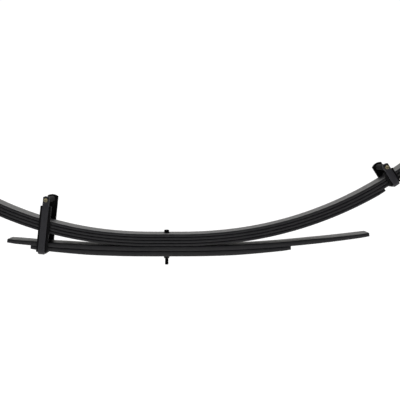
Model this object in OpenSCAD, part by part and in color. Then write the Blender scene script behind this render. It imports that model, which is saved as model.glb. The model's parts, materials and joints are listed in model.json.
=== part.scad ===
// Two-stage leaf spring: four curved main leaves over two flatter overload leaves, with a bushed eye
// at each end, a centre bolt and two bolted rebound clips.
// X runs along the spring, from the fixed front eye at -X to the shackle eye at +X. Y runs across
// the leaves and Z is up. The origin is on the centre bolt's axis, at the lowest leaf's underside.
// A place along an arm is its distance from the centre bolt, measured along the curve.

/* [Leaves] */
// Width of every leaf
leaf_w = 60; // [55:1:70]
// Thickness of each main leaf
leaf_t = 8; // [7:0.5:9]
// Thickness of the upper overload leaf at the seat
upper_t = 13; // [11:0.5:14]
// Thickness of the lower overload leaf at the seat
lower_t = 14; // [12:0.5:15]
// Thickness of both overload leaves at their tips
tip_t = 10; // [8:0.5:11]
// Length over which an overload leaf thins towards its tip
taper_l = 150; // [110:5:180]
// Length of the trimmed corners at a leaf's tip
trim_l = 22; // [10:1:30]
// Width that each trimmed corner takes off the tip
trim_w = 6; // [2:1:10]

/* [Camber] */
// Half length of the flat seat at the centre bolt
seat_half = 40; // [30:2:50]
// Radius of the main leaves next to the seat
mid_r = 1100; // [1000:50:1300]
// Where the front arm's tighter curve starts
front_mid = 150; // [120:10:200]
// Radius of the front arm
front_arm_r = 900; // [850:10:1100]
// Where the rear arm's tighter curve starts
rear_mid = 190; // [150:10:220]
// Radius of the rear arm
rear_arm_r = 960; // [900:10:1100]
// Radius of the overload leaves
overload_r = 3200; // [2800:100:4000]

/* [Lengths] */
// Centre bolt to the front eye
front_len = 580; // [560:5:620]
// Centre bolt to the rear eye
rear_len = 720; // [700:5:760]
// How far the second leaf runs past the centre of each eye
second_past = 4; // [2:1:6]
// Front arm of the third leaf
third_front = 520; // [480:5:530]
// Rear arm of the third leaf
third_rear = 640; // [625:5:655]
// Front arm of the fourth leaf
fourth_front = 455; // [400:5:470]
// Rear arm of the fourth leaf
fourth_rear = 579; // [480:1:585]
// Front arm of the upper overload leaf
upper_front = 415; // [380:5:430]
// Rear arm of the upper overload leaf
upper_rear = 532; // [450:2:560]
// Front arm of the lower overload leaf
lower_front = 353; // [350:1:365]
// Rear arm of the lower overload leaf
lower_rear = 325; // [280:5:350]

/* [Eyes] */
// Bore of the front eye
front_bore_d = 40; // [36:1:44]
// Bore of the rear eye
rear_bore_d = 32; // [30:1:36]
// Angle through which the main leaf curls around an eye
eye_sweep = 306; // [290:2:308]
// Angle through which the second leaf wraps the front eye
wrap_sweep = 200; // [120:5:220]
// Bore of each bush's inner sleeve
sleeve_bore_d = 14.2; // [12.2:0.2:14.6]
// Outside diameter of each bush's inner sleeve
sleeve_d = 20; // [18:0.5:21]
// How far the front sleeve stands out of the eye on each side
front_sleeve_out = 3; // [1:0.5:5]
// Wall of the front bush's outer shell
shell_t = 1.5; // [1:0.25:2]
// Outside diameter of the rear bush's flanges
flange_d = 44; // [40:1:48]
// Thickness of the rear bush's flanges
flange_t = 5; // [3:0.5:6]

/* [Centre bolt] */
// Diameter of the centre bolt
bolt_d = 9.5; // [8:0.5:10]
// Diameter of its round head
head_d = 13; // [12:0.5:16]
// Height of its head
head_l = 8.5; // [5:0.5:10]
// Width across the flats of its nut
nut_af = 14.3; // [13:0.1:16]
// Height of its nut
nut_l = 8.3; // [6.5:0.1:9]
// How far the bolt's tail reaches below the lowest leaf
tail_l = 25; // [16:1:30]

/* [Rebound clips] */
// Place of the front clip along the lower overload leaf
front_clip_at = 321; // [312:1:325]
// Height of the front clip's bolt over the lower overload leaf's underside
front_clip_h = 133; // [120:1:140]
// Place of the rear clip along the main leaves
rear_clip_at = 607; // [604:1:612]
// Height of the rear clip's bolt over the third leaf's underside
rear_clip_h = 47; // [42:1:55]
// Width of a clip's strap
strap_w = 17; // [13:1:20]
// Thickness of a clip's strap
strap_t = 5; // [3:0.5:6]
// Width of a clip's liner
liner_w = 28; // [22:1:30]
// Thickness of the liner's two sides
liner_t = 7; // [5:0.5:9]
// Thickness of the liner's floor
floor_t = 4; // [2:0.5:5]
// Gap between a leaf's edge and the liner
side_gap = 0.75; // [0.5:0.25:1.5]
// Outside diameter of the spacer tube between a clip's ears
tube_d = 16; // [13:0.5:16]
// Diameter of a clip's bolt
clip_bolt_d = 6; // [5:0.5:7]
// Diameter of a clip's rivet
rivet_d = 8; // [7:0.5:9]

/* [Hidden] */
$fn = 64;

pack_h = 4 * leaf_t + upper_t + lower_t;  // height of the whole pack at the seat
step = 10;                    // spacing of the points along a leaf's curve
curl_steps = 36;              // points around an eye
bend_steps = 8;               // points around a clip's bend
bite = 0.3;                   // how far an eye's bore cuts into the leaf's top face
wrap_gap = 1;                 // how much larger the second leaf's wrap is than the eye, in radius
fit = 0.05;                   // running clearance of the bushes and rivets, in radius
hole_gap = 0.25;              // clearance of a bolt in its hole, in radius
spot_r = 10;                  // radius of the spot faces under the centre bolt's head and nut
spot_depth = 0.5;             // depth of those spot faces
clip_head_d = 10;             // diameter of a clip bolt's round head
clip_head_l = 6;              // height of that head
clip_socket_af = 5;           // across the flats of the hexagon socket in it
clip_socket_l = 3;            // depth of that socket
clip_nut_af = 10;             // across the flats of a clip bolt's nut
clip_nut_l = 6;               // height of that nut
shank_r = bolt_d / 2 - 0.5;   // the centre bolt's plain shank, as thick as its thread's middle
head_edge = 1;                // chamfer around the centre bolt's head
clip_edge = 0.5;              // chamfer around a clip bolt's head
thread_out = 2;               // how far a clip bolt ends past its nut
ear_over = 10;                // height of a strap's ears over the bolt
liner_over = 12;              // height of the liner's far ear over the bolt
rivet_low = 0.3;              // how far the front clip's rivet ends below the leaf's top
ear_crown = 13;               // radius of the strap's ear, seen from the side
liner_crown = 24;             // radius of the liner's ear, seen from the side
bend_r = 0.75;                // inside radius of a liner's bends
rivet_head_r = 7;             // radius of both rivet heads
rivet_dome = 4;               // height of the rivet's domed head
rivet_sink = 3;               // depth of the rivet's countersunk head
through = 200;                // length of a cutter that passes through everything

// A curve is [where its arm radius starts, radius before, radius after].
FRONT = [front_mid, mid_r, front_arm_r];
REAR = [rear_mid, mid_r, rear_arm_r];
OVERLOAD = [front_mid, overload_r, overload_r];

PAINT = "#26282b";
RUBBER = "#141415";
ZINC = "#c9c08f";
STEEL = "#8f9296";

// Curves ---------------------------------------------------------------------------------------

// Slope of a curve at place s, in degrees
function slope(s, curve) =
    let (bent = min(s, curve[0]) - seat_half, beyond = s - curve[0])
    (max(0, bent) / curve[1] + max(0, beyond) / curve[2]) * 180 / PI;

// Chord of an arc of radius r whose slope goes from a to b
function chord(r, a, b) = r * [sin(b) - sin(a), cos(a) - cos(b)];

// Point of a curve at place s, in the side view
function point(s, curve) =
    let (before = slope(min(s, curve[0]), curve))
    [min(s, seat_half), 0] + chord(curve[1], 0, before) + chord(curve[2], before, slope(s, curve));

// Point at a depth below the curve, square to it
function below(s, depth, curve) =
    point(s, curve) + depth * [sin(slope(s, curve)), -cos(slope(s, curve))];

// Places along an arm, from the end of the seat to the tip
function places(length) = concat([for (s = [seat_half : step : length - 1]) s], [length]);

function arc(centre, r, from, sweep, steps) =
    [for (i = [0 : steps]) centre + r * [cos(from + sweep * i / steps), sin(from + sweep * i / steps)]];

function reversed(points) = [for (i = [len(points) - 1 : -1 : 0]) points[i]];
function flipped(points) = [for (p = points) [-p.x, p.y]];
function raised(points, h) = [for (p = points) [p.x, p.y + h]];

// Thickness of an overload leaf at place s of an arm of this length
function thinned(s, length, full) =
    let (done = (s - length + taper_l) / taper_l)
    full - (full - tip_t) * max(0, min(1, done));

// Side view of an arm of main leaf n, counted from 0 at the top, with any curl at its end
function main_arm(n, length, curve, curl = []) = concat(
    [for (s = places(length)) below(s, n * leaf_t, curve)], curl,
    reversed([for (s = places(length)) below(s, (n + 1) * leaf_t, curve)]));

function upper_arm(length) = concat(
    [for (s = places(length)) below(s, -thinned(s, length, upper_t), OVERLOAD)],
    reversed([for (s = places(length)) below(s, 0, OVERLOAD)]));

function lower_arm(length) = concat(
    [for (s = places(length)) below(s, 0, OVERLOAD)],
    reversed([for (s = places(length)) below(s, thinned(s, length, lower_t), OVERLOAD)]));

// Centre of an eye in the side view, in its own arm's frame
function eye_centre(length, curve, bore_d) = below(length, bite - bore_d / 2, curve);

// Curl of the main leaf around an eye; its inner edge lies inside the bore, which trims it
function eye_curl(length, curve, bore_d) =
    let (c = eye_centre(length, curve, bore_d), start = slope(length, curve) - 90)
    concat(arc(c, bore_d / 2 - 1, start, eye_sweep, curl_steps),
        reversed(arc(c, bore_d / 2 - bite + leaf_t, start, eye_sweep, curl_steps)));

// Wrap of the second leaf around the front eye
function wrap_curl(length) =
    let (r = front_bore_d / 2 - bite + leaf_t + wrap_gap,
        c = below(length, leaf_t - r, FRONT), start = slope(length, FRONT) - 90)
    concat(arc(c, r, start, wrap_sweep, curl_steps),
        reversed(arc(c, r + leaf_t, start, wrap_sweep, curl_steps)));

// Shared shapes --------------------------------------------------------------------------------

// A leaf with this front and rear arm, raised to its height, with the centre bolt's hole
module leaf(front, rear, h) {
    difference() {
        rotate([90, 0, 0])
            linear_extrude(leaf_w, center = true)
                polygon(raised(concat(rear, flipped(reversed(front))), h));
        cylinder(r = bolt_d / 2 + hole_gap, h = through, center = true);
    }
}

// Puts its children at place s of a curve, with X along the arm and Z square to it
module on_curve(s, depth, curve, h, front = false) {
    p = below(s, depth, curve);
    mirror([front ? 1 : 0, 0, 0])
        translate([p.x, 0, p.y + h])
            rotate([0, -slope(s, curve), 0])
                children();
}

// Cutters for the two trimmed corners of a tip
module trims(s, curve, h, front = false) {
    edge = leaf_w / 2;
    on_curve(s, 0, curve, h, front)
        for (side = [0, 1])
            mirror([0, side, 0])
                linear_extrude(through, center = true)
                    polygon([[-trim_l, edge], [1, edge - trim_w * (1 + 1 / trim_l)],
                        [1, edge + 1], [-trim_l, edge + 1]]);
}

// A rod along Y at a point of the side view
module cross_rod(p, r, length) {
    translate([p.x, 0, p.y])
        rotate([90, 0, 0])
            cylinder(r = r, h = length, center = true);
}

// A hexagon prism along Z with its top edges chamfered
module hex(af, h) {
    corner = af / 2 / cos(30);
    intersection() {
        cylinder(r = corner, h = h, $fn = 6);
        cylinder(r1 = corner + h * 1.6, r2 = af / 2 * 0.96, h = h);
    }
}

// A U that holds the pack, seen along X. Its sides are side_t thick and its floor lies between the
// heights top and bottom. The bend is the radius of its inner corners.
module channel(width, half, side_t, top, bottom, bend, near_z, far_z) {
    round_r = bend + top - bottom;
    inner = [half - bend, top + bend];
    outer = [half + side_t - round_r, bottom + round_r];
    outline = concat(
        [[-half - side_t, near_z]],
        arc([-outer.x, outer.y], round_r, 180, 90, bend_steps),
        arc(outer, round_r, 270, 90, bend_steps),
        [[half + side_t, far_z], [half, far_z]],
        arc(inner, bend, 0, -90, bend_steps),
        arc([-inner.x, inner.y], bend, 270, -90, bend_steps),
        [[-half, near_z]]);
    rotate([90, 0, 90])
        linear_extrude(width, center = true)
            polygon(outline);
}

// A slab across the clip with a crowned top, which rounds the ears when it meets a channel
module crowned(width, top_z, crown) {
    half = width / 2;
    spread = asin(half / crown);
    rotate([90, 0, 0])
        linear_extrude(through, center = true)
            polygon(concat([[-half, -through / 4], [half, -through / 4]],
                arc([0, top_z - crown], crown, 90 - spread, 2 * spread, bend_steps)));
}

// Rebound clip, in a frame whose origin is on the underside of the lowest leaf that it holds ------

inner_half = leaf_w / 2 + side_gap;          // centre plane to the liner's inner face
strap_half = inner_half + liner_t;           // centre plane to the strap's inner face
outer_half = strap_half + strap_t;           // centre plane to the strap's outer face
strap_bottom = -floor_t - strap_t;           // height of the strap's underside

module clip_strap(h) {
    difference() {
        intersection() {
            channel(strap_w, strap_half, strap_t, -floor_t, strap_bottom, bend_r + floor_t,
                h + 20, h + 20);
            crowned(strap_w, h + ear_over, ear_crown);
        }
        cross_rod([0, h], clip_bolt_d / 2 + hole_gap, through);
        translate([0, 0, -through / 4])
            cylinder(d = rivet_d, h = through / 4);
    }
}

// The liner's near side ends below the spacer tube, and its far side stands a little over the ear.
module clip_liner(h, drop) {
    difference() {
        intersection() {
            channel(liner_w, inner_half, liner_t, 0, -floor_t, bend_r, h - drop, h + 20);
            crowned(liner_w, h + liner_over, liner_crown);
        }
        cross_rod([0, h], clip_bolt_d / 2 + hole_gap, through);
        translate([0, 0, -through / 4])
            cylinder(d = rivet_d, h = through / 4 + 1);
    }
}

module clip_tube(h) {
    length = strap_half + inner_half;
    translate([0, (inner_half - strap_half) / 2, h])
        rotate([90, 0, 0])
            difference() {
                cylinder(d = tube_d, h = length, center = true);
                cylinder(r = clip_bolt_d / 2 + hole_gap, h = length + 1, center = true);
            }
}

// Bolt with a round head that has a hexagon socket
module clip_bolt(h) {
    length = 2 * outer_half + clip_nut_l + thread_out;
    translate([0, -outer_half, h])
        rotate([90, 0, 0])
            difference() {
                union() {
                    cylinder(d = clip_head_d, h = clip_head_l - clip_edge);
                    translate([0, 0, clip_head_l - clip_edge])
                        cylinder(r1 = clip_head_d / 2, r2 = clip_head_d / 2 - clip_edge, h = clip_edge);
                }
                translate([0, 0, clip_head_l - clip_socket_l])
                    cylinder(r = clip_socket_af / 2 / cos(30), h = clip_socket_l + 1, $fn = 6);
            }
    translate([0, length / 2 - outer_half, h])
        rotate([90, 0, 0])
            cylinder(d = clip_bolt_d, h = length, center = true);
}

module clip_nut(h) {
    translate([0, outer_half, h])
        rotate([-90, 0, 0])
            difference() {
                hex(clip_nut_af, clip_nut_l);
                translate([0, 0, -1])
                    cylinder(d = clip_bolt_d, h = clip_nut_l + 2);
            }
}

// Rivet through the strap, the liner and a leaf of thickness grip, flush with that leaf's top
module clip_rivet(grip) {
    ball = (rivet_head_r * rivet_head_r + rivet_dome * rivet_dome) / 2 / rivet_dome;
    translate([0, 0, strap_bottom])
        cylinder(d = rivet_d, h = grip - strap_bottom);
    translate([0, 0, grip - rivet_sink])
        cylinder(r1 = rivet_d / 2, r2 = rivet_head_r, h = rivet_sink);
    intersection() {
        translate([0, 0, strap_bottom - rivet_dome + ball])
            sphere(r = ball);
        translate([0, 0, strap_bottom - rivet_dome])
            cylinder(r = rivet_head_r + 1, h = rivet_dome);
    }
}

// The hole for that rivet, with its countersink
module rivet_hole(grip) {
    r = rivet_d / 2 + fit;
    translate([0, 0, -1])
        cylinder(r = r, h = grip + 2);
    translate([0, 0, grip - rivet_sink])
        cylinder(r1 = r, r2 = rivet_head_r + fit, h = rivet_sink);
    translate([0, 0, grip])
        cylinder(r = rivet_head_r + fit, h = 1);
}

// The front clip sits on the thinning part of the lower overload leaf, so it leans with its underside.
front_clip_t = thinned(front_clip_at, lower_front, lower_t);  // the leaf's thickness at the clip
front_grip = front_clip_t - rivet_low;

module at_front_clip() {
    on_curve(front_clip_at, front_clip_t, OVERLOAD, lower_t, front = true)
        rotate([0, -atan((lower_t - tip_t) / taper_l), 0])
            children();
}

module at_rear_clip() {
    on_curve(rear_clip_at, 3 * leaf_t, REAR, pack_h)
        children();
}

// Eyes and bushes ------------------------------------------------------------------------------

front_eye = eye_centre(front_len, FRONT, front_bore_d);
rear_eye = eye_centre(rear_len, REAR, rear_bore_d);

// Puts its children at an eye, with Z along the eye's bore
module at_front_eye() {
    translate([-front_eye.x, 0, front_eye.y + pack_h])
        rotate([90, 0, 0])
            children();
}

module at_rear_eye() {
    translate([rear_eye.x, 0, rear_eye.y + pack_h])
        rotate([90, 0, 0])
            children();
}

module ring(r, hole_r, length) {
    difference() {
        cylinder(r = r, h = length, center = true);
        cylinder(r = hole_r, h = length + 1, center = true);
    }
}

// One flanged half of the rear bush, from the middle of the eye outwards along Z
module bush_half() {
    difference() {
        union() {
            cylinder(r = rear_bore_d / 2 - fit, h = leaf_w / 2 + 1);
            translate([0, 0, leaf_w / 2 + 0.2])
                cylinder(d = flange_d, h = flange_t);
        }
        translate([0, 0, -1])
            cylinder(r = sleeve_d / 2 + fit, h = leaf_w);
    }
}

// Sub-parts ------------------------------------------------------------------------------------

module main_leaf() {
    color(PAINT)
        difference() {
            leaf(main_arm(0, front_len, FRONT, eye_curl(front_len, FRONT, front_bore_d)),
                main_arm(0, rear_len, REAR, eye_curl(rear_len, REAR, rear_bore_d)), pack_h);
            cross_rod([-front_eye.x, front_eye.y + pack_h], front_bore_d / 2, leaf_w + 2);
            cross_rod([rear_eye.x, rear_eye.y + pack_h], rear_bore_d / 2, leaf_w + 2);
            translate([0, 0, pack_h - spot_depth])
                cylinder(r = spot_r, h = 1);
        }
}

module second_leaf() {
    wrap_at = front_len + second_past;
    color(PAINT)
        difference() {
            leaf(main_arm(1, wrap_at, FRONT, wrap_curl(wrap_at)),
                main_arm(1, rear_len + second_past, REAR), pack_h);
            trims(rear_len + second_past, REAR, pack_h);
        }
}

module third_leaf() {
    color(PAINT)
        difference() {
            leaf(main_arm(2, third_front, FRONT), main_arm(2, third_rear, REAR), pack_h);
            trims(third_front, FRONT, pack_h, front = true);
            trims(third_rear, REAR, pack_h);
            at_rear_clip()
                rivet_hole(leaf_t);
        }
}

module fourth_leaf() {
    color(PAINT)
        difference() {
            leaf(main_arm(3, fourth_front, FRONT), main_arm(3, fourth_rear, REAR), pack_h);
            trims(fourth_front, FRONT, pack_h, front = true);
            trims(fourth_rear, REAR, pack_h);
        }
}

module upper_overload_leaf() {
    color(PAINT)
        difference() {
            leaf(upper_arm(upper_front), upper_arm(upper_rear), lower_t);
            trims(upper_front, OVERLOAD, lower_t, front = true);
            trims(upper_rear, OVERLOAD, lower_t);
        }
}

module lower_overload_leaf() {
    color(PAINT)
        difference() {
            leaf(lower_arm(lower_front), lower_arm(lower_rear), lower_t);
            trims(lower_front, OVERLOAD, lower_t, front = true);
            trims(lower_rear, OVERLOAD, lower_t);
            at_front_clip()
                rivet_hole(front_grip);
            translate([0, 0, spot_depth - 1])
                cylinder(r = spot_r, h = 1);
        }
}

module centre_bolt() {
    nut_face = spot_depth - nut_l;
    color(PAINT) {
        translate([0, 0, pack_h - spot_depth])
            cylinder(d = head_d, h = head_l - head_edge);
        translate([0, 0, pack_h - spot_depth + head_l - head_edge])
            cylinder(r1 = head_d / 2, r2 = head_d / 2 - head_edge, h = head_edge);
        translate([0, 0, nut_face])
            cylinder(r = shank_r, h = pack_h - spot_depth - nut_face);
        translate([0, 0, -tail_l])
            cylinder(d = bolt_d, h = tail_l + nut_face);
    }
}

module centre_nut() {
    color(PAINT)
        translate([0, 0, spot_depth])
            mirror([0, 0, 1])
                difference() {
                    rotate(30)
                        hex(nut_af, nut_l);
                    translate([0, 0, -1])
                        cylinder(r = shank_r, h = nut_l + 2);
                }
}

module front_clip_strap() {
    color(PAINT) at_front_clip() clip_strap(front_clip_h);
}

module front_clip_liner() {
    color(RUBBER) at_front_clip() clip_liner(front_clip_h, 16);
}

module front_clip_tube() {
    color(PAINT) at_front_clip() clip_tube(front_clip_h);
}

module front_clip_bolt() {
    color(ZINC) at_front_clip() clip_bolt(front_clip_h);
}

module front_clip_nut() {
    color(ZINC) at_front_clip() clip_nut(front_clip_h);
}

module front_clip_rivet() {
    color(PAINT) at_front_clip() clip_rivet(front_grip);
}

module rear_clip_strap() {
    color(PAINT) at_rear_clip() clip_strap(rear_clip_h);
}

module rear_clip_liner() {
    color(RUBBER) at_rear_clip() clip_liner(rear_clip_h, 10);
}

module rear_clip_tube() {
    color(PAINT) at_rear_clip() clip_tube(rear_clip_h);
}

module rear_clip_bolt() {
    color(ZINC) at_rear_clip() clip_bolt(rear_clip_h);
}

module rear_clip_nut() {
    color(ZINC) at_rear_clip() clip_nut(rear_clip_h);
}

module rear_clip_rivet() {
    color(PAINT) at_rear_clip() clip_rivet(leaf_t);
}

module front_bush_shell() {
    r = front_bore_d / 2 - fit;
    color(STEEL) at_front_eye() ring(r, r - shell_t, leaf_w);
}

module front_bush_rubber() {
    r = front_bore_d / 2 - fit - shell_t;
    color(RUBBER) at_front_eye() ring(r, sleeve_d / 2 + fit, leaf_w - 4);
}

module front_bush_sleeve() {
    color(STEEL) at_front_eye() ring(sleeve_d / 2, sleeve_bore_d / 2, leaf_w + 2 * front_sleeve_out);
}

module rear_bush_near() {
    color(RUBBER) at_rear_eye() bush_half();
}

module rear_bush_far() {
    color(RUBBER) at_rear_eye() mirror([0, 0, 1]) bush_half();
}

module rear_bush_sleeve() {
    color(STEEL) at_rear_eye() ring(sleeve_d / 2, sleeve_bore_d / 2, leaf_w + 2 * flange_t + 2);
}

main_leaf();
second_leaf();
third_leaf();
fourth_leaf();
upper_overload_leaf();
lower_overload_leaf();
centre_bolt();
centre_nut();
front_clip_strap();
front_clip_liner();
front_clip_tube();
front_clip_bolt();
front_clip_nut();
front_clip_rivet();
rear_clip_strap();
rear_clip_liner();
rear_clip_tube();
rear_clip_bolt();
rear_clip_nut();
rear_clip_rivet();
front_bush_shell();
front_bush_rubber();
front_bush_sleeve();
rear_bush_near();
rear_bush_far();
rear_bush_sleeve();
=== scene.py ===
"""Looks of a two-stage leaf spring: four main leaves over two overload leaves, with clips, bolts and bushes.

X runs from the front eye to the rear eye, Y across the leaves and Z up. Lengths are in metres. A place along
an arm is its distance from the centre bolt, measured along the curve. A side view point is (x, z).
"""

import json
import math
from collections import namedtuple

import bmesh
import bpy
from mathutils import Matrix, Vector


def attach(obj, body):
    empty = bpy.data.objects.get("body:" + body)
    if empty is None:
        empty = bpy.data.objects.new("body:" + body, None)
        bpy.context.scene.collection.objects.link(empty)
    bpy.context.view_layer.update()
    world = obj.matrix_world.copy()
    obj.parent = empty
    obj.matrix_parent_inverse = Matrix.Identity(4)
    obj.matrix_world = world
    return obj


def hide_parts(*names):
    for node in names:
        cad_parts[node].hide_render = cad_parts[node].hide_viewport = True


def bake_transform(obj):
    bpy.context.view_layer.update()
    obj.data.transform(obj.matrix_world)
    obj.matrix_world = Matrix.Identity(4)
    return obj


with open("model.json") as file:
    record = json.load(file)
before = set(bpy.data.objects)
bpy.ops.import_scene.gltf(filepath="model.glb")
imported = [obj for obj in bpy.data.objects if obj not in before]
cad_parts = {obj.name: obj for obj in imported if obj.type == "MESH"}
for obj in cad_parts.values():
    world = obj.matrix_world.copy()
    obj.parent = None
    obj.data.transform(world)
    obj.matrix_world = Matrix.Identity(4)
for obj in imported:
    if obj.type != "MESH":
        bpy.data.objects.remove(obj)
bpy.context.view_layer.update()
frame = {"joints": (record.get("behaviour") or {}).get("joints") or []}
JOINTS = {joint["name"]: joint for joint in frame["joints"]}
MM = 0.001

# Leaves
LEAF_W = 60 * MM
LEAF_T = 8 * MM
UPPER_T = 13 * MM
LOWER_T = 14 * MM
TIP_T = 10 * MM           # thickness of an overload leaf's tip
TAPER_L = 150 * MM        # length over which an overload leaf thins
TRIM_L = 22 * MM          # trimmed corners of a tip
TRIM_W = 6 * MM
LEAF_FILLET = 2.2 * MM    # rounded long edges of a rolled flat bar
TIP_FILLET = 1.2 * MM
PACK_H = 4 * LEAF_T + UPPER_T + LOWER_T
STEP = 10 * MM            # spacing of the ribs along a leaf

# Curves: the place where an arm's radius changes, and the radius before and after it. The seat is straight.
Curve = namedtuple("Curve", "turn before after")
SEAT_HALF = 40 * MM
FRONT = Curve(150 * MM, 1100 * MM, 900 * MM)
REAR = Curve(190 * MM, 1100 * MM, 960 * MM)
OVERLOAD = Curve(150 * MM, 3200 * MM, 3200 * MM)

# Lengths of the arms from the centre bolt
MAIN_FRONT, MAIN_REAR = 580 * MM, 720 * MM
SECOND_FRONT, SECOND_REAR = 584 * MM, 724 * MM
THIRD_FRONT, THIRD_REAR = 520 * MM, 640 * MM
FOURTH_FRONT, FOURTH_REAR = 455 * MM, 579 * MM
UPPER_FRONT, UPPER_REAR = 415 * MM, 532 * MM
LOWER_FRONT, LOWER_REAR = 353 * MM, 325 * MM

# Where the main leaves bend as an arm flexes, as distances from the centre bolt along X
BEND_START = 100 * MM
BEND_END_FRONT = 512 * MM
BEND_END_REAR = 635 * MM

# Eyes and bushes
FRONT_BORE_R = 20 * MM
REAR_BORE_R = 16 * MM
BITE = 0.3 * MM           # how far an eye's bore cuts into the leaf's top face
EYE_SWEEP = math.radians(306)
WRAP_SWEEP = math.radians(200)    # the second leaf's wrap around the front eye
WRAP_GAP = 1 * MM
CURL_STEPS = 54
SLEEVE_R = 10 * MM
SLEEVE_BORE_R = 7.1 * MM
SLEEVE_EDGE = 0.8 * MM
FRONT_SLEEVE_L = 66 * MM
REAR_SLEEVE_L = 72 * MM
SHELL_T = 1.5 * MM
FLANGE_R = 22 * MM
FLANGE_T = 5 * MM
FLANGE_GAP = 0.2 * MM     # between the leaf's side and a flange
FIT = 0.05 * MM

# Centre bolt
BOLT_R = 4.75 * MM
SHANK_R = BOLT_R - 0.5 * MM   # at the thread's middle
BOLT_HEAD_R = 6.5 * MM
BOLT_HEAD_L = 8.5 * MM
CENTRE_NUT_AF = 14.3 * MM
CENTRE_NUT_L = 8.3 * MM
TAIL_L = 25 * MM          # the bolt's reach below the lowest leaf
CENTRE_PITCH = 1.06 * MM
HOLE_GAP = 0.25 * MM
SPOT_R = 10 * MM          # spot faces under the centre bolt's head and nut
SPOT_DEPTH = 0.5 * MM

# Rebound clips
FRONT_CLIP_AT = 321 * MM
FRONT_CLIP_H = 133 * MM   # the bolt's height over the underside of the lowest leaf that the clip holds
REAR_CLIP_AT = 607 * MM
REAR_CLIP_H = 47 * MM
STRAP_W = 17 * MM
STRAP_T = 5 * MM
LINER_W = 28 * MM
LINER_T = 7 * MM          # the liner's sides
FLOOR_T = 4 * MM          # the liner's floor
STRAP_BOTTOM = -FLOOR_T - STRAP_T
INNER_HALF = 30.75 * MM   # centre plane to the liner's inner face
STRAP_HALF = INNER_HALF + LINER_T
OUTER_HALF = STRAP_HALF + STRAP_T
LINER_BEND = 0.75 * MM
EAR_OVER = 10 * MM        # how far the ears reach above the bolt
LINER_OVER = 12 * MM      # how far the liner's far side does
STRAP_CROWN = 13 * MM     # radius of an ear's end
LINER_CROWN = 24 * MM
STRAP_FILLET = 2.2 * MM   # rounded long edges
LINER_FILLET = 0.8 * MM
STRAP_EDGE = 0.6 * MM     # rounding of the ends
LINER_EDGE = 0.8 * MM
FRONT_LINER_DROP = 16 * MM    # how far the liner's near side ends below the bolt
REAR_LINER_DROP = 10 * MM
TUBE_R = 8 * MM
CLIP_BOLT_R = 3 * MM
CLIP_HEAD_R = 5 * MM
CLIP_HEAD_L = 6 * MM
CLIP_THREAD_L = 18 * MM
SOCKET_AF = 5 * MM
SOCKET_L = 3 * MM
SOCKET_CONE = 1.2 * MM
KNURLS = 36
KNURL_R = 0.07 * MM       # half the depth of the knurling
CLIP_NUT_AF = 10 * MM
CLIP_NUT_L = 6 * MM
CLIP_PITCH = 1 * MM
THREAD_OUT = 2 * MM       # thread beyond the nut
RIVET_R = 4 * MM
RIVET_HEAD_R = 7 * MM
RIVET_DOME = 4 * MM
RIVET_SINK = 3 * MM
RIVET_LOW = 0.3 * MM      # how far the front clip's rivet ends below the leaf's top
RIVET_GAP = 1 * MM        # clearance in the leaf, which bends a little against the clip and its rivet

THROUGH = 200 * MM        # reach of a cutter that passes through everything


# Curves -------------------------------------------------------------------------------------------

def slope(s, curve):
    """Slope of an arm at place s, in radians."""
    bent = min(s, curve.turn) - SEAT_HALF
    return max(0, bent) / curve.before + max(0, s - curve.turn) / curve.after


def chord(r, a, b):
    """Chord of an arc of radius r whose slope goes from a to b."""
    return r * Vector((math.sin(b) - math.sin(a), math.cos(a) - math.cos(b)))


def point(s, curve):
    """Point of an arm's curve at place s, from the seat's middle."""
    before = slope(min(s, curve.turn), curve)
    start = Vector((min(s, SEAT_HALF), 0))
    return start + chord(curve.before, 0, before) + chord(curve.after, before, slope(s, curve))


def up_at(s, curve):
    """Unit vector square to the curve, upwards."""
    return Vector((-math.sin(slope(s, curve)), math.cos(slope(s, curve))))


def thinned(s, length, full):
    """Thickness of an overload leaf at place s of an arm of this length."""
    done = (s - length + TAPER_L) / TAPER_L
    return full - (full - TIP_T) * max(0, min(1, done))


def places(end, *more):
    """Places from 0 to end at even steps, with some of their own."""
    count = math.ceil(end / STEP)
    return sorted({end * i / count for i in range(count + 1)} | set(more))


# Lofts --------------------------------------------------------------------------------------------

# A rib is one cross section of a bent bar: a point of the path, the unit vector that points to the bar's top
# there, half its width, its top and bottom as heights along that vector, and how far its middle is crowned.
Rib = namedtuple("Rib", "p n half top bottom crown", defaults=(0,))
CORNER_STEPS = 3
MIDDLE_STEPS = 6
MOST_FILLET = 0.45        # largest fillet, as a part of the bar's thickness


def outline(rib, fillet):
    """Cross section with rounded corners: its upper side from left to right, then its lower side back."""
    fillet = min(fillet, (rib.top - rib.bottom) * MOST_FILLET)
    left = []
    for i in range(CORNER_STEPS + 1):
        a = math.radians(90) * i / CORNER_STEPS
        left.append((-rib.half + fillet * (1 - math.cos(a)), rib.top - fillet * (1 - math.sin(a))))
    flat = rib.half - fillet * 1.25
    middle = [(flat * (2 * i / MIDDLE_STEPS - 1), rib.top) for i in range(MIDDLE_STEPS + 1)]
    upper = left + middle + [(-across, up) for across, up in reversed(left)]
    return upper + [(across, rib.top + rib.bottom - up) for across, up in reversed(upper)]


def loft(name, ribs, fillet, place):
    """Closed bar through its ribs. place() turns (across, point of the path's plane, rib) into a point."""
    verts = []
    for rib in ribs:
        for across, up in outline(rib, fillet):
            verts.append(place(across, rib.p + up * rib.n, rib))
    n = len(verts) // len(ribs)
    faces = []
    for i in range(len(ribs) - 1):
        for j in range(n):
            k = (j + 1) % n
            faces.append((i * n + j, i * n + k, (i + 1) * n + k, (i + 1) * n + j))
    for first in (0, (len(ribs) - 1) * n):
        for j in range(n // 2 - 1):
            faces.append((first + j, first + j + 1, first + n - 2 - j, first + n - 1 - j))
    return solid(name, verts, faces)


WELD = 0.001 * MM         # points closer than this become one
SHARP = math.radians(35)  # an edge that turns more than this stays sharp


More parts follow.
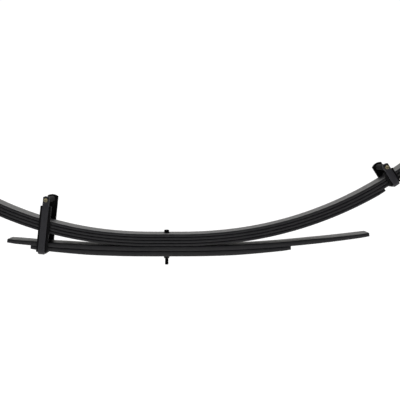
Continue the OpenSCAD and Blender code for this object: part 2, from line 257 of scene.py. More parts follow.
def solid(name, verts, faces):
    """A mesh object with outward normals, smooth but for its real edges."""
    mesh = bpy.data.meshes.new(name)
    mesh.from_pydata([tuple(v) for v in verts], [], faces)
    bm = bmesh.new()
    bm.from_mesh(mesh)
    bmesh.ops.remove_doubles(bm, verts=bm.verts, dist=WELD)
    bmesh.ops.recalc_face_normals(bm, faces=bm.faces)
    bm.to_mesh(mesh)
    bm.free()
    piece = bpy.data.objects.new(name, mesh)
    bpy.context.scene.collection.objects.link(piece)
    smooth(piece)
    return piece


def smooth(piece):
    """Smooth shading, but for the piece's real edges."""
    piece.data.polygons.foreach_set("use_smooth", [True] * len(piece.data.polygons))
    piece.data.set_sharp_from_angle(angle=SHARP)


def carve(piece, *cutters):
    """Cuts the cutters out of the piece and removes them."""
    for cutter in cutters:
        cut = piece.modifiers.new("cut", "BOOLEAN")
        cut.object = cutter
        cut.solver = "EXACT"
    bpy.context.view_layer.update()
    shape = piece.evaluated_get(bpy.context.evaluated_depsgraph_get())
    carved = bpy.data.meshes.new_from_object(shape)
    piece.modifiers.clear()
    piece.data = carved
    smooth(piece)
    for cutter in cutters:
        bpy.data.objects.remove(cutter)
    return piece


# Turned shapes ------------------------------------------------------------------------------------

TURN_STEPS = 72


def turned(name, rings, matrix, closed=False, steps=TURN_STEPS):
    """Shape about local Z through its rings.

    A ring is (radius, height), or a function that gives both for an angle.
    """
    verts = []
    for ring in rings:
        for i in range(steps):
            a = math.tau * i / steps
            r, z = ring(a) if callable(ring) else ring
            verts.append(matrix @ Vector((r * math.cos(a), r * math.sin(a), z)))
    faces = []
    for i in range(len(rings) if closed else len(rings) - 1):
        low, high = i * steps, (i + 1) % len(rings) * steps
        for j in range(steps):
            k = (j + 1) % steps
            faces.append((low + j, low + k, high + k, high + j))
    return solid(name, verts, faces)


def arc(centre, r, start, end, steps=4):
    """(radius, height) points of a round corner of a profile; the angles are in degrees."""
    points = []
    for i in range(steps + 1):
        a = math.radians(start + (end - start) * i / steps)
        points.append((centre[0] + r * math.cos(a), centre[1] + r * math.sin(a)))
    return points


def rod(r, low, high):
    """Rings of a plain round cutter with closed ends."""
    return [(0, low), (r, low), (r, high), (0, high)]


def tube_rings(r, bore_r, length, edge):
    """Rings of a tube with rounded edges, centred on its middle."""
    half = length / 2
    rings = arc((r - edge, half - edge), edge, 0, 90) + arc((bore_r + edge, half - edge), edge, 90, 180)
    return rings + [(radius, -z) for radius, z in reversed(rings)]


def hexagon(a, af):
    """Radius of a hexagon at an angle; one of its flats faces angle 0."""
    beyond = (a + math.radians(30)) % math.radians(60) - math.radians(30)
    return af / 2 / math.cos(beyond)


CONE = math.tan(math.radians(30))
END_FACE = 0.96           # radius of a hexagon's end face inside its chamfer, as a part of its flats'


def hex_edge(af, z, towards):
    """The two rings of a 30 degree chamfer at a hexagon's end: on its flats, and on its end face."""
    inner = af / 2 * END_FACE

    def on_flats(a):
        r = hexagon(a, af)
        return r, z + towards * (r - inner) * CONE
    return [on_flats, (inner, z)]


def nut_rings(af, length, bore_r):
    """Rings of a hexagon nut on z = 0, with a countersunk bore."""
    sink = 0.6 * MM
    rings = [(bore_r, length - sink), (bore_r, sink), (bore_r + sink, 0)]
    rings += reversed(hex_edge(af, 0, 1))
    rings += hex_edge(af, length, -1)
    return rings + [(bore_r + sink, length)]


THREAD_ROWS = 8           # rings in one turn of a thread
THREAD_DEPTH = 0.61       # depth of a thread, as a part of its pitch
CREST = 0.15              # width of its flat crest and of its flat root, as a part of its pitch


def groove(turns):
    """How deep a thread is after this many turns, from 0 on its crest to 1 at its root."""
    off_crest = abs(turns % 1 * 2 - 1)
    return max(0, min(1, (off_crest - CREST) / (1 - 2 * CREST)))


def thread_rings(r, start, end, pitch):
    """Rings of a right hand thread with a chamfered end, from start up to end."""
    depth = THREAD_DEPTH * pitch
    count = math.ceil((end - start) / pitch * THREAD_ROWS)

    def ring(z):
        fade = max(0, min(1, (z - start) / pitch))
        limit = min(r, r - depth + (end - z))
        return lambda a: (min(limit, r - depth * fade * groove((z - start) / pitch - a / math.tau)), z)
    return [ring(start + (end - start) * i / count) for i in range(count + 1)] + [(0, end)]


# Materials ----------------------------------------------------------------------------------------

class Finish:
    """A Principled material whose noise is measured in the frame's own coordinates."""

    def __init__(self, name, metallic, specular=0.5):
        self.material = bpy.data.materials.new(name)
        self.material.use_nodes = True
        self.nodes = self.material.node_tree.nodes
        self.links = self.material.node_tree.links
        self.shader = self.nodes["Principled BSDF"]
        self.shader.inputs["Metallic"].default_value = metallic
        self.shader.inputs["Specular IOR Level"].default_value = specular
        self.place = self.nodes.new("ShaderNodeTexCoord").outputs["Object"]

    def noise(self, size, detail=3, stretch=(1, 1, 1)):
        """Noise whose features are about this size, longer along an axis by its stretch."""
        mapping = self.nodes.new("ShaderNodeMapping")
        mapping.inputs["Scale"].default_value = [1 / x for x in stretch]
        texture = self.nodes.new("ShaderNodeTexNoise")
        texture.inputs["Scale"].default_value = 1 / size
        texture.inputs["Detail"].default_value = detail
        self.links.new(self.place, mapping.inputs["Vector"])
        self.links.new(mapping.outputs["Vector"], texture.inputs["Vector"])
        return texture.outputs["Fac"]

    def between(self, fac, low, high, start=0.3, end=0.7):
        """A number that goes from low to high as fac goes from start to end."""
        node = self.nodes.new("ShaderNodeMapRange")
        node.inputs["From Min"].default_value = start
        node.inputs["From Max"].default_value = end
        node.inputs["To Min"].default_value = low
        node.inputs["To Max"].default_value = high
        self.links.new(fac, node.inputs["Value"])
        return node.outputs["Result"]

    def tone(self, fac, low, high, start=0.3, end=0.7):
        """A colour that goes from low to high as fac goes from start to end."""
        node = self.nodes.new("ShaderNodeValToRGB")
        node.color_ramp.elements[0].position = start
        node.color_ramp.elements[0].color = (*low, 1)
        node.color_ramp.elements[1].position = end
        node.color_ramp.elements[1].color = (*high, 1)
        self.links.new(fac, node.inputs["Fac"])
        return node.outputs["Color"]

    def blotch(self, under, over, fac):
        """Colour over on colour under where fac is high."""
        node = self.nodes.new("ShaderNodeMix")
        node.data_type = "RGBA"
        self.links.new(fac, node.inputs["Factor"])
        self.links.new(under, node.inputs["A"])
        self.links.new(over, node.inputs["B"])
        return node.outputs["Result"]

    def set(self, **outputs):
        """Links outputs to the shader's sockets, whose names have _ for a space."""
        for name, output in outputs.items():
            self.links.new(output, self.shader.inputs[name.replace("_", " ")])

    def bump(self, *layers):
        """Layers of relief, each (noise, height in metres)."""
        normal = None
        for fac, height in layers:
            node = self.nodes.new("ShaderNodeBump")
            node.inputs["Distance"].default_value = height
            self.links.new(fac, node.inputs["Height"])
            if normal:
                self.links.new(normal, node.inputs["Normal"])
            normal = node.outputs["Normal"]
        self.links.new(normal, self.shader.inputs["Normal"])


def black_paint():
    """Satin paint over shot-peened steel: a fine orange peel, and duller where it is thin."""
    finish = Finish("black_paint", 0, 0.32)
    cloud = finish.noise(60 * MM, 5)
    across = finish.noise(5 * MM, 4, (1, 14, 2))
    speck = finish.noise(1.1 * MM, 2)
    paint = finish.tone(cloud, (0.0095, 0.0095, 0.0115), (0.0165, 0.016, 0.0175))
    dusty = finish.tone(speck, (0.015, 0.015, 0.0165), (0.031, 0.03, 0.03))
    finish.set(Base_Color=finish.blotch(paint, dusty, finish.between(across, 0, 0.55, 0.45, 0.75)))
    finish.set(Roughness=finish.between(finish.noise(14 * MM, 4), 0.36, 0.5))
    peel = finish.noise(0.9 * MM, 2)
    wave = finish.noise(9 * MM, 2)
    finish.bump((peel, 0.05 * MM), (across, 0.08 * MM), (wave, 0.12 * MM))
    return finish.material


def strap_paint():
    """The clips' glossier, slightly blue paint over bent flat bar."""
    finish = Finish("strap_paint", 0, 0.42)
    cloud = finish.noise(18 * MM, 4)
    finish.set(Base_Color=finish.tone(cloud, (0.009, 0.009, 0.0125), (0.017, 0.0165, 0.0215)))
    finish.set(Roughness=finish.between(finish.noise(7 * MM, 3), 0.34, 0.46))
    finish.bump((finish.noise(1.2 * MM, 2), 0.04 * MM), (finish.noise(6 * MM, 2), 0.06 * MM))
    return finish.material


def dull_paint():
    """The thin dull paint of the centre bolt, its nut and the clips' spacer tubes."""
    finish = Finish("dull_paint", 0, 0.1)
    cloud = finish.noise(9 * MM, 4)
    finish.set(Base_Color=finish.tone(cloud, (0.004, 0.004, 0.0045), (0.008, 0.0078, 0.0076)))
    finish.set(Roughness=finish.between(finish.noise(5 * MM, 3), 0.75, 0.9))
    finish.bump((finish.noise(0.8 * MM, 2), 0.04 * MM))
    return finish.material


def liner_plastic():
    """Dull moulded plastic with a fine grain."""
    finish = Finish("liner_plastic", 0, 0.12)
    cloud = finish.noise(12 * MM, 4)
    finish.set(Base_Color=finish.tone(cloud, (0.003, 0.003, 0.0034), (0.006, 0.006, 0.0064)))
    finish.set(Roughness=finish.between(finish.noise(3 * MM, 3), 0.55, 0.7))
    finish.bump((finish.noise(0.45 * MM, 2), 0.04 * MM))
    return finish.material


def yellow_zinc():
    """Yellow passivated zinc, whose hue wanders from straw to faint green and rose."""
    finish = Finish("yellow_zinc", 1)
    straw = finish.tone(finish.noise(3 * MM, 4), (0.26, 0.22, 0.11), (0.38, 0.34, 0.22))
    rose = finish.tone(finish.noise(1.6 * MM, 3), (0.2, 0.26, 0.18), (0.33, 0.24, 0.19))
    patch = finish.between(finish.noise(2.2 * MM, 3), 0, 0.6, 0.4, 0.7)
    finish.set(Base_Color=finish.blotch(straw, rose, patch))
    finish.set(Roughness=finish.between(finish.noise(1.2 * MM, 3), 0.34, 0.5))
    finish.bump((finish.noise(0.5 * MM, 3), 0.02 * MM))
    return finish.material


def bare_steel():
    """Cold drawn tube with fine lines along Y, and duller patches."""
    finish = Finish("bare_steel", 1)
    lines = finish.noise(0.35 * MM, 2, (1, 60, 1))
    cloud = finish.noise(8 * MM, 4)
    finish.set(Base_Color=finish.tone(cloud, (0.3, 0.3, 0.31), (0.46, 0.45, 0.44)))
    finish.set(Roughness=finish.between(lines, 0.26, 0.44))
    finish.bump((lines, 0.015 * MM))
    return finish.material


def bush_rubber():
    """Moulded rubber with a faint bloom."""
    finish = Finish("bush_rubber", 0, 0.3)
    bloom = finish.noise(7 * MM, 5)
    finish.set(Base_Color=finish.tone(bloom, (0.009, 0.009, 0.009), (0.019, 0.0185, 0.018)))
    finish.set(Roughness=finish.between(bloom, 0.6, 0.8))
    finish.bump((finish.noise(0.6 * MM, 2), 0.05 * MM))
    return finish.material


MATERIALS = {
    "black_paint": black_paint(),
    "strap_paint": strap_paint(),
    "dull_paint": dull_paint(),
    "liner_plastic": liner_plastic(),
    "yellow_zinc": yellow_zinc(),
    "bare_steel": bare_steel(),
    "bush_rubber": bush_rubber(),
}


def dress(piece, node, material):
    """Gives a piece its material, and hides the CAD node that it stands for."""
    piece.data.materials.clear()
    piece.data.materials.append(MATERIALS[material])
    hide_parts(node)
    return piece


# Leaves -------------------------------------------------------------------------------------------

def leaf_place(across, at, rib):
    """Puts a leaf's points in the spring's own frame."""
    return Vector((at.x, across, at.y))


def arm(curve, height, at, shape):
    """Ribs of an arm at its places; shape gives half the width, the top and the bottom at a place."""
    ribs = []
    for s in at:
        half, top, bottom = shape(s)
        ribs.append(Rib(point(s, curve) + Vector((0, height)), up_at(s, curve), half, top, bottom))
    return ribs


def trimmed(s, length):
    """Half the width of a leaf whose tip has trimmed corners."""
    return LEAF_W / 2 - TRIM_W * max(0, s - length + TRIM_L) / TRIM_L


def rounded_end(rib, along, radius=TIP_FILLET):
    """Ribs that carry on from one by the radius of its rounded end."""
    ribs = []
    for degrees in (30, 60, 90):
        a = math.radians(degrees)
        inset = radius * (1 - math.cos(a))
        ribs.append(Rib(rib.p + along * radius * math.sin(a), rib.n, rib.half - inset,
                        rib.top - inset, rib.bottom + inset, rib.crown))
    return ribs


def plain_arm(curve, height, length, thickness):
    """Ribs of an arm with a trimmed tip. thickness gives the top and the bottom at a place."""
    end = length - TIP_FILLET
    ribs = arm(curve, height, places(end, length - TRIM_L), lambda s: (trimmed(s, length), *thickness(s)))
    return ribs + rounded_end(ribs[-1], Vector((ribs[-1].n.y, -ribs[-1].n.x)))


def curl(centre, r, start, sweep, top, bottom):
    """Ribs around an eye, where r is the radius at height 0."""
    ribs = []
    sweep -= TIP_FILLET / r
    for i in range(1, CURL_STEPS + 1):
        a = start + sweep * i / CURL_STEPS
        out = Vector((math.cos(a), math.sin(a)))
        ribs.append(Rib(centre + r * out, -out, LEAF_W / 2, top, bottom))
    return ribs + rounded_end(ribs[-1], Vector((-out.y, out.x)))


def eye_arm(curve, length, bore_r):
    """Ribs of the main leaf's arm and of the eye at its end, whose bore bites a little into the top face."""
    reach = math.sqrt(2 * bore_r * BITE)

    def shape(s):
        bitten = max(0, BITE - (length - s) ** 2 / (2 * bore_r))
        return LEAF_W / 2, -bitten, -LEAF_T
    near_eye = [length - reach * i / 4 for i in range(5)]
    ribs = arm(curve, PACK_H, places(length - reach, *near_eye), shape)
    r = bore_r - BITE
    centre = ribs[-1].p + r * ribs[-1].n
    return ribs + curl(centre, r, slope(length, curve) - math.radians(90), EYE_SWEEP, -BITE, -LEAF_T)


def wrap_arm(curve, length):
    """Ribs of the second leaf's front arm, which wraps around the main leaf's eye."""
    ribs = arm(curve, PACK_H, places(length), lambda s: (LEAF_W / 2, -LEAF_T, -2 * LEAF_T))
    r = FRONT_BORE_R - BITE + LEAF_T + WRAP_GAP
    centre = ribs[-1].p + (r - LEAF_T) * ribs[-1].n
    start = slope(length, curve) - math.radians(90)
    return ribs + curl(centre, r, start, WRAP_SWEEP, 0, -LEAF_T)


def plain_main_arm(n, curve, length):
    """Ribs of an arm of main leaf n, counted from 0 at the top, with a plain tip."""
    return plain_arm(curve, PACK_H, length, lambda s: (-n * LEAF_T, -(n + 1) * LEAF_T))


def mirrored(ribs):
    """The same ribs on the other side of the middle."""
    return [rib._replace(p=Vector((-rib.p.x, rib.p.y)), n=Vector((-rib.n.x, rib.n.y))) for rib in ribs]


def bolt_hole():
    """Cutter of the centre bolt's hole."""
    return turned("hole", rod(BOLT_R + HOLE_GAP, -THROUGH, THROUGH), Matrix())


def spot(z, towards):
    """Cutter of a spot face in a surface at z, open towards +Z or -Z."""
    low, high = sorted((z - towards * SPOT_DEPTH, z + towards * 1 * MM))
    return turned("spot", rod(SPOT_R, low, high), Matrix())


def rivet_hole(grip, matrix):
    """Cutter of a rivet's hole through a leaf of thickness grip, with its countersink."""
    r = RIVET_R + RIVET_GAP
    top_r = RIVET_HEAD_R + RIVET_GAP
    rings = [(0, -1 * MM), (r, -1 * MM), (r, grip - RIVET_SINK), (top_r, grip), (top_r, grip + 1 * MM),
             (0, grip + 1 * MM)]
    return turned("rivet_hole", rings, matrix)


def make_main_leaf(node, front, rear, *cutters):
    """A main leaf as two halves that meet at the centre bolt, one for each eye.

    A cutter is (the half that it cuts, or both, and a function that makes it).
    """
    halves = (("front", mirrored(front), "front_eye", -BEND_START, -BEND_END_FRONT),
              ("rear", rear, "rear_eye", BEND_START, BEND_END_REAR))
    for name, ribs, body, start, end in halves:
        piece = loft(f"{node}_{name}_arm", ribs, LEAF_FILLET, leaf_place)
        made = [bolt_hole()] + [cutter() for side, cutter in cutters if side in (name, "both")]
        dress(carve(piece, *made), node, "black_paint")
        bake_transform(piece)


def make_main_leaves():
    make_main_leaf("main_leaf",
                   eye_arm(FRONT, MAIN_FRONT, FRONT_BORE_R),
                   eye_arm(REAR, MAIN_REAR, REAR_BORE_R),
                   ("both", lambda: spot(PACK_H, 1)))
    make_main_leaf("second_leaf",
                   wrap_arm(FRONT, SECOND_FRONT),
                   plain_main_arm(1, REAR, SECOND_REAR))
    make_main_leaf("third_leaf",
                   plain_main_arm(2, FRONT, THIRD_FRONT),
                   plain_main_arm(2, REAR, THIRD_REAR),
                   ("rear", lambda: rivet_hole(LEAF_T, REAR_CLIP)))
    make_main_leaf("fourth_leaf",
                   plain_main_arm(3, FRONT, FOURTH_FRONT),
                   plain_main_arm(3, REAR, FOURTH_REAR))


def make_overload_leaf(node, arms, *cutters):
    """An overload leaf in one piece. Its arms are (length, function that gives the top and the bottom)."""
    front, rear = [plain_arm(OVERLOAD, LOWER_T, length, thickness) for length, thickness in arms]
    piece = loft(f"{node}_bar", mirrored(front)[:0:-1] + rear, LEAF_FILLET, leaf_place)
    dress(carve(piece, bolt_hole(), *cutters), node, "black_paint")
    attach(piece, "root")


def make_overload_leaves():
    upper = [(length, lambda s, length=length: (thinned(s, length, UPPER_T), 0))
             for length in (UPPER_FRONT, UPPER_REAR)]
    lower = [(length, lambda s, length=length: (0, -thinned(s, length, LOWER_T)))
             for length in (LOWER_FRONT, LOWER_REAR)]
    make_overload_leaf("upper_overload_leaf", upper)
    make_overload_leaf("lower_overload_leaf", lower, spot(0, -1), rivet_hole(FRONT_GRIP, FRONT_CLIP))


# Rebound clips ------------------------------------------------------------------------------------

def clip_frame(s, depth, curve, height, side):
    """Frame of a clip, with its origin on the underside of the lowest leaf it holds and Z square to that."""
    at = point(s, curve) - depth * up_at(s, curve)
    turn = Matrix.Rotation(-side * slope(s, curve), 4, "Y")
    return Matrix.Translation((side * at.x, 0, at.y + height)) @ turn


FRONT_CLIP_T = thinned(FRONT_CLIP_AT, LOWER_FRONT, LOWER_T)
FRONT_GRIP = FRONT_CLIP_T - RIVET_LOW
# The front clip sits on the thinning part of the lower overload leaf, so it leans with its underside.
LEAN = Matrix.Rotation(math.atan((LOWER_T - TIP_T) / TAPER_L), 4, "Y")
FRONT_CLIP = clip_frame(FRONT_CLIP_AT, FRONT_CLIP_T, OVERLOAD, LOWER_T, -1) @ LEAN
REAR_CLIP = clip_frame(REAR_CLIP_AT, 3 * LEAF_T, REAR, PACK_H, 1)

# A U that holds the pack: its width, the inner face of its sides, their thickness, the top and bottom of
# its floor, the radius of its inner corners, and the rounding of its ends.
Channel = namedtuple("Channel", "width half side_t top bottom bend edge")
CROWNED = 14 * MM         # length over which a crowned end goes over into a straight side
CROWN_STEPS = 12
BEND_STEPS = 8
FLOOR_STEPS = 6


def wall_rib(shape, p, q, crown=0):
    """Rib of a channel whose inner face is at p and whose outer face is at q."""
    return Rib(p, (p - q).normalized(), shape.width / 2, 0, -(p - q).length, crown)


def channel_side(shape, end_z, crown):
    """Ribs of a channel's far side, from its end at height end_z to its floor."""
    end = end_z - shape.edge
    low = shape.top + shape.bend
    done = [i / CROWN_STEPS for i in range(CROWN_STEPS + 1)]
    heights = [(end - CROWNED * part, crown * (1 - part)) for part in done]
    count = max(1, round((end - CROWNED - low) / STEP))
    heights += [(low + (end - CROWNED - low) * i / count, 0) for i in range(count - 1, 0, -1)]
    ribs = []
    outer = shape.half + shape.side_t
    for z, crowned in heights:
        ribs.append(wall_rib(shape, Vector((shape.half, z)), Vector((outer, z)), crowned))
    outer_r = shape.bend + shape.top - shape.bottom
    for i in range(BEND_STEPS + 1):
        a = -math.radians(90) * i / BEND_STEPS
        out = Vector((math.cos(a), math.sin(a)))
        p = Vector((shape.half - shape.bend, low)) + shape.bend * out
        q = Vector((outer - outer_r, shape.bottom + outer_r)) + outer_r * out
        ribs.append(wall_rib(shape, p, q))
    return rounded_end(ribs[0], Vector((0, 1)), shape.edge)[::-1] + ribs


def channel(shape, near_z, far_z, near_crown):
    """Ribs of a channel, from its near end to its crowned far end."""
    reach = shape.half - shape.bend
    floor = [-reach + 2 * reach * i / FLOOR_STEPS for i in range(1, FLOOR_STEPS)]
    near = mirrored(channel_side(shape, near_z, near_crown))
    middle = [wall_rib(shape, Vector((x, shape.top)), Vector((x, shape.bottom))) for x in floor]
    return near + middle + channel_side(shape, far_z, 1)[::-1]


def channel_place(crown_r):
    """Puts a channel's points in the clip's frame, and lowers the corners of its crowned ends."""
    def place(across, at, rib):
        drop = crown_r - math.sqrt(crown_r ** 2 - across ** 2)
        return Vector((across, at.x, at.y - rib.crown * drop))
    return place


ALONG_Y = Matrix.Rotation(math.radians(-90), 4, "X")


def bolt_frame(h):
    """Frame on the clip bolt's axis, with Z to the far side and its origin on the clip's middle."""
    return Matrix.Translation((0, 0, h)) @ ALONG_Y


def make_strap(prefix, h, matrix):
    """Bent flat bar around the liner, with an ear at each end for the bolt."""
    ear = h + EAR_OVER
    bend = LINER_BEND + FLOOR_T
    shape = Channel(STRAP_W, STRAP_HALF, STRAP_T, -FLOOR_T, STRAP_BOTTOM, bend, STRAP_EDGE)
    piece = loft(f"{prefix}_band", channel(shape, ear, ear, 1), STRAP_FILLET, channel_place(STRAP_CROWN))
    bolt = turned("hole", rod(CLIP_BOLT_R + HOLE_GAP, -THROUGH, THROUGH), bolt_frame(h))
    rivet = turned("hole", rod(RIVET_R, -THROUGH, 0), Matrix())
    carve(piece, bolt, rivet)
    piece.data.transform(matrix)
    return dress(piece, f"{prefix}_strap", "strap_paint")


def make_liner(prefix, h, drop, matrix):
    """Moulded liner, whose near side ends below the bolt and whose far side is crowned above it."""
    shape = Channel(LINER_W, INNER_HALF, LINER_T, 0, -FLOOR_T, LINER_BEND, LINER_EDGE)
    ribs = channel(shape, h - drop, h + LINER_OVER, 0)
    piece = loft(f"{prefix}_sheath", ribs, LINER_FILLET, channel_place(LINER_CROWN))
    bolt = turned("hole", rod(CLIP_BOLT_R + HOLE_GAP, 0, THROUGH), bolt_frame(h))
    rivet = turned("hole", rod(RIVET_R, -THROUGH, 1 * MM), Matrix())
    carve(piece, bolt, rivet)
    piece.data.transform(matrix)
    return dress(piece, f"{prefix}_liner", "liner_plastic")


def make_tube(prefix, h, matrix):
    """Spacer tube on the bolt, from the near ear to the liner's far side."""
    length = STRAP_HALF + INNER_HALF
    middle = Matrix.Translation((0, (INNER_HALF - STRAP_HALF) / 2, 0))
    rings = tube_rings(TUBE_R, CLIP_BOLT_R + HOLE_GAP, length, 0.5 * MM)
    piece = turned(f"{prefix}_spacer", rings, matrix @ middle @ bolt_frame(h), closed=True)
    return dress(piece, f"{prefix}_tube", "dull_paint")


def socket_head_rings():
    """Rings of a knurled round head below z = 0, from the bottom of its hexagon socket outwards."""
    top = -CLIP_HEAD_L
    edge = 0.5 * MM
    chamfer = 0.4 * MM
    mouth_r = SOCKET_AF / 2 / math.cos(math.radians(30)) + 0.1 * MM

    def socket(z):
        return lambda a: (hexagon(a, SOCKET_AF), z)

    def knurled(z):
        return lambda a: (CLIP_HEAD_R - KNURL_R * (1 - math.cos(KNURLS * a)), z)
    rings = [(0, top + SOCKET_L + SOCKET_CONE), socket(top + SOCKET_L)]
    rings += [socket(top + 0.3 * MM), (mouth_r, top)]
    rings += arc((CLIP_HEAD_R - edge, top + edge), edge, -90, -20)
    return rings + [knurled(top + 0.8 * MM), knurled(-chamfer), (CLIP_HEAD_R - chamfer, 0)]


def make_clip_bolt(prefix, h, matrix):
    """Socket head screw, with its head on the near ear."""
    length = 2 * OUTER_HALF + CLIP_NUT_L + THREAD_OUT
    rings = socket_head_rings()
    rings.append((CLIP_BOLT_R, 0))
    rings += thread_rings(CLIP_BOLT_R, length - CLIP_THREAD_L, length, CLIP_PITCH)
    start = Matrix.Translation((0, -OUTER_HALF, 0))
    piece = turned(f"{prefix}_socket_screw", rings, matrix @ start @ bolt_frame(h), steps=144)
    return dress(piece, f"{prefix}_bolt", "yellow_zinc")


def make_clip_nut(prefix, h, matrix):
    start = Matrix.Translation((0, OUTER_HALF, 0))
    rings = nut_rings(CLIP_NUT_AF, CLIP_NUT_L, CLIP_BOLT_R)
    piece = turned(f"{prefix}_hex_nut", rings, matrix @ start @ bolt_frame(h), closed=True)
    return dress(piece, f"{prefix}_nut", "yellow_zinc")


def make_rivet(prefix, grip, matrix):
    """Rivet with a domed head under the strap and a countersunk head in the leaf's top."""
    ball = (RIVET_HEAD_R ** 2 + RIVET_DOME ** 2) / 2 / RIVET_DOME
    spread = math.degrees(math.asin(RIVET_HEAD_R / ball))
    rings = arc((0, STRAP_BOTTOM - RIVET_DOME + ball), ball, -90, -90 + spread, 12)
    rings += [(RIVET_R, STRAP_BOTTOM), (RIVET_R, grip - RIVET_SINK), (RIVET_HEAD_R, grip), (0, grip)]
    piece = turned(f"{prefix}_domed_rivet", rings, matrix)
    return dress(piece, f"{prefix}_rivet", "strap_paint")


def make_clip(prefix, body, h, drop, grip, matrix):
    """A clip on a body, from the height of its bolt, its liner's drop and its rivet's grip."""
    parts = [
        make_strap(prefix, h, matrix),
        make_liner(prefix, h, drop, matrix),
        make_tube(prefix, h, matrix),
        make_clip_bolt(prefix, h, matrix),
        make_clip_nut(prefix, h, matrix),
        make_rivet(prefix, grip, matrix),
    ]
    for part in parts:
        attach(part, body)


# Centre bolt --------------------------------------------------------------------------------------

def make_centre_bolt():
    """Round headed bolt. Its rings run from the head's top down, so Z is turned over."""
    seat = PACK_H - SPOT_DEPTH
    nut_face = SPOT_DEPTH - CENTRE_NUT_L
    edge = 1 * MM
    low_edge = 0.3 * MM
    rings = [(0, -BOLT_HEAD_L), (BOLT_HEAD_R - edge - low_edge, -BOLT_HEAD_L)]
    rings += arc((BOLT_HEAD_R - edge, edge - BOLT_HEAD_L), edge, -90, 0)
    rings += arc((BOLT_HEAD_R - low_edge, -low_edge), low_edge, 0, 90, 2)
    rings += [(SHANK_R, 0), (SHANK_R, seat - nut_face)]
    rings += thread_rings(BOLT_R, seat - nut_face, seat + TAIL_L, CENTRE_PITCH)
    down = Matrix.Translation((0, 0, seat)) @ Matrix.Rotation(math.pi, 4, "X")
    piece = turned("centre_bolt_round_head", rings, down)
    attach(dress(piece, "centre_bolt", "dull_paint"), "root")


def make_centre_nut():
    """Hexagon nut in the spot face under the lowest leaf."""
    down = Matrix.Translation((0, 0, SPOT_DEPTH)) @ Matrix.Rotation(math.pi, 4, "X")
    piece = turned("centre_hex_nut", nut_rings(CENTRE_NUT_AF, CENTRE_NUT_L, SHANK_R), down, closed=True)
    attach(dress(piece, "centre_nut", "dull_paint"), "root")


# Bushes -------------------------------------------------------------------------------------------

def eye_frame(joint):
    """Frame on an eye's axis, with Z along the bore."""
    return Matrix.Translation(JOINTS[joint]["pos_m"]) @ ALONG_Y


def make_bush_part(name, node, rings, matrix, material, body):
    piece = turned(name, rings, matrix, closed=True)
    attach(dress(piece, node, material), body)


def make_front_bush():
    """Bonded bush: a shell pressed in the eye, rubber with dished ends, and a sleeve for a bolt."""
    at = eye_frame("front_bush_twist")
    shell_r = FRONT_BORE_R - FIT
    rubber_r = shell_r - SHELL_T
    inner_r = SLEEVE_R + FIT
    half = LEAF_W / 2 - 2 * MM
    dish = [(rubber_r, half), (rubber_r - 0.8 * MM, half - 0.4 * MM)]
    dish += arc(((rubber_r + inner_r) / 2, half + 1.5 * MM), 3.9 * MM, -25, -155, 8)
    dish += [(inner_r + 0.4 * MM, half), (inner_r, half)]
    rubber = dish + [(r, -z) for r, z in reversed(dish)]
    shell = tube_rings(shell_r, rubber_r, LEAF_W, 0.4 * MM)
    sleeve = tube_rings(SLEEVE_R, SLEEVE_BORE_R, FRONT_SLEEVE_L, SLEEVE_EDGE)
    make_bush_part("front_bush_outer", "front_bush_shell", shell, at, "bare_steel", "front_eye")
    make_bush_part("front_bush_dished_rubber", "front_bush_rubber", rubber, at, "bush_rubber", "front_eye")
    make_bush_part("front_bush_inner", "front_bush_sleeve", sleeve, at, "bare_steel", "front_sleeve")


def make_rear_bush():
    """Two flanged rubber halves on one sleeve."""
    at = eye_frame("rear_bush_twist")
    r = REAR_BORE_R - FIT
    inner_r = SLEEVE_R + FIT
    low = LEAF_W / 2 + FLANGE_GAP
    high = low + FLANGE_T
    edge = 1.6 * MM
    rings = [(inner_r, 0), (r, 0), (r, low)]
    rings += arc((FLANGE_R - edge, low + edge), edge, -90, 0)
    rings += arc((FLANGE_R - edge, high - edge), edge, 0, 90)
    rings += arc((inner_r + edge, high - edge), edge, 90, 180)
    for side, turn in (("near", 180), ("far", 0)):
        half_at = at @ Matrix.Rotation(math.radians(turn), 4, "X")
        node = f"rear_bush_{side}"
        make_bush_part(f"{node}_half", node, rings, half_at, "bush_rubber", "rear_eye")
    sleeve = tube_rings(SLEEVE_R, SLEEVE_BORE_R, REAR_SLEEVE_L, SLEEVE_EDGE)
    make_bush_part("rear_bush_inner", "rear_bush_sleeve", sleeve, at, "bare_steel", "rear_sleeve")


# Studio -------------------------------------------------------------------------------------------

SKY_UP = math.radians(40)   # height of the middle of the sky's light


def make_camera():
    """Almost square to the spring's side, and a little above it."""
    data = bpy.data.cameras.new("camera")
    data.lens = 56.1
    data.sensor_width = 36
    camera = bpy.data.objects.new("camera", data)
    camera.location = (0.080, -1.637, 0.241)
    camera.rotation_euler = (math.radians(90 - 3.34), 0, math.radians(-0.28))
    bpy.context.scene.collection.objects.link(camera)
    bpy.context.scene.camera = camera


def make_light():
    """One very soft light from above and behind."""
    data = bpy.data.lights.new("sky_light", "SUN")
    data.angle = math.radians(60)
    data.energy = 3.3
    light = bpy.data.objects.new("sky_light", data)
    light.rotation_euler = (math.radians(-25), 0, 0)
    bpy.context.scene.collection.objects.link(light)


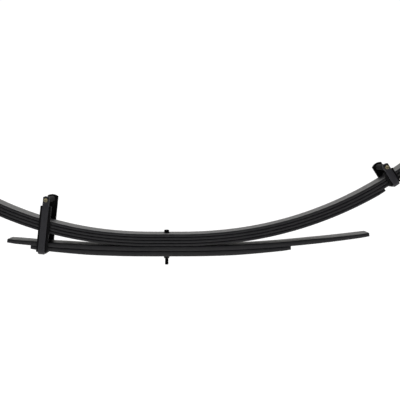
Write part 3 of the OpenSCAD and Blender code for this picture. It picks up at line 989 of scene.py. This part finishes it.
def make_world():
    """A wide soft light behind and above the spring, in dim surroundings; the camera itself sees white."""
    world = bpy.data.worlds.new("studio")
    world.use_nodes = True
    nodes, links = world.node_tree.nodes, world.node_tree.links
    towards = nodes.new("ShaderNodeVectorMath")
    towards.operation = "DOT_PRODUCT"
    towards.inputs[1].default_value = (0, math.cos(SKY_UP), math.sin(SKY_UP))
    links.new(nodes.new("ShaderNodeTexCoord").outputs["Generated"], towards.inputs[0])
    ramp = nodes.new("ShaderNodeValToRGB")
    ramp.color_ramp.elements[0].position = 0.55
    ramp.color_ramp.elements[0].color = (0.08, 0.078, 0.088, 1)
    ramp.color_ramp.elements[1].position = 0.95
    ramp.color_ramp.elements[1].color = (0.61, 0.6, 0.575, 1)
    links.new(towards.outputs["Value"], ramp.inputs["Fac"])
    links.new(ramp.outputs["Color"], nodes["Background"].inputs["Color"])
    white = nodes.new("ShaderNodeBackground")
    white.inputs["Color"].default_value = (1, 1, 1, 1)
    white.inputs["Strength"].default_value = 1.05
    seen = nodes.new("ShaderNodeMixShader")
    links.new(nodes.new("ShaderNodeLightPath").outputs["Is Camera Ray"], seen.inputs["Fac"])
    links.new(nodes["Background"].outputs["Background"], seen.inputs[1])
    links.new(white.outputs["Background"], seen.inputs[2])
    links.new(seen.outputs["Shader"], nodes["World Output"].inputs["Surface"])
    bpy.context.scene.world = world
    bpy.context.scene.view_settings.view_transform = "Standard"


def make_floor():
    """Pale floor, far enough below the spring to take no sharp shadow."""
    size = 30
    z = -0.6
    corners = [(-size, -size, z), (size, -size, z), (size, size, z), (-size, size, z)]
    floor = solid("floor", corners, [(0, 1, 2, 3)])
    finish = Finish("floor", 0, 0.2)
    pale = finish.tone(finish.noise(0.5, 2), (0.93, 0.93, 0.93), (0.95, 0.95, 0.95))
    finish.set(Base_Color=pale)
    finish.shader.inputs["Roughness"].default_value = 0.8
    floor.data.materials.append(finish.material)


make_camera()
make_world()
make_floor()
make_light()
make_main_leaves()
make_overload_leaves()
make_clip("front_clip", "root", FRONT_CLIP_H, FRONT_LINER_DROP, FRONT_GRIP, FRONT_CLIP)
make_clip("rear_clip", "rear_clip", REAR_CLIP_H, REAR_LINER_DROP, LEAF_T, REAR_CLIP)
make_centre_bolt()
make_centre_nut()
make_front_bush()
make_rear_bush()
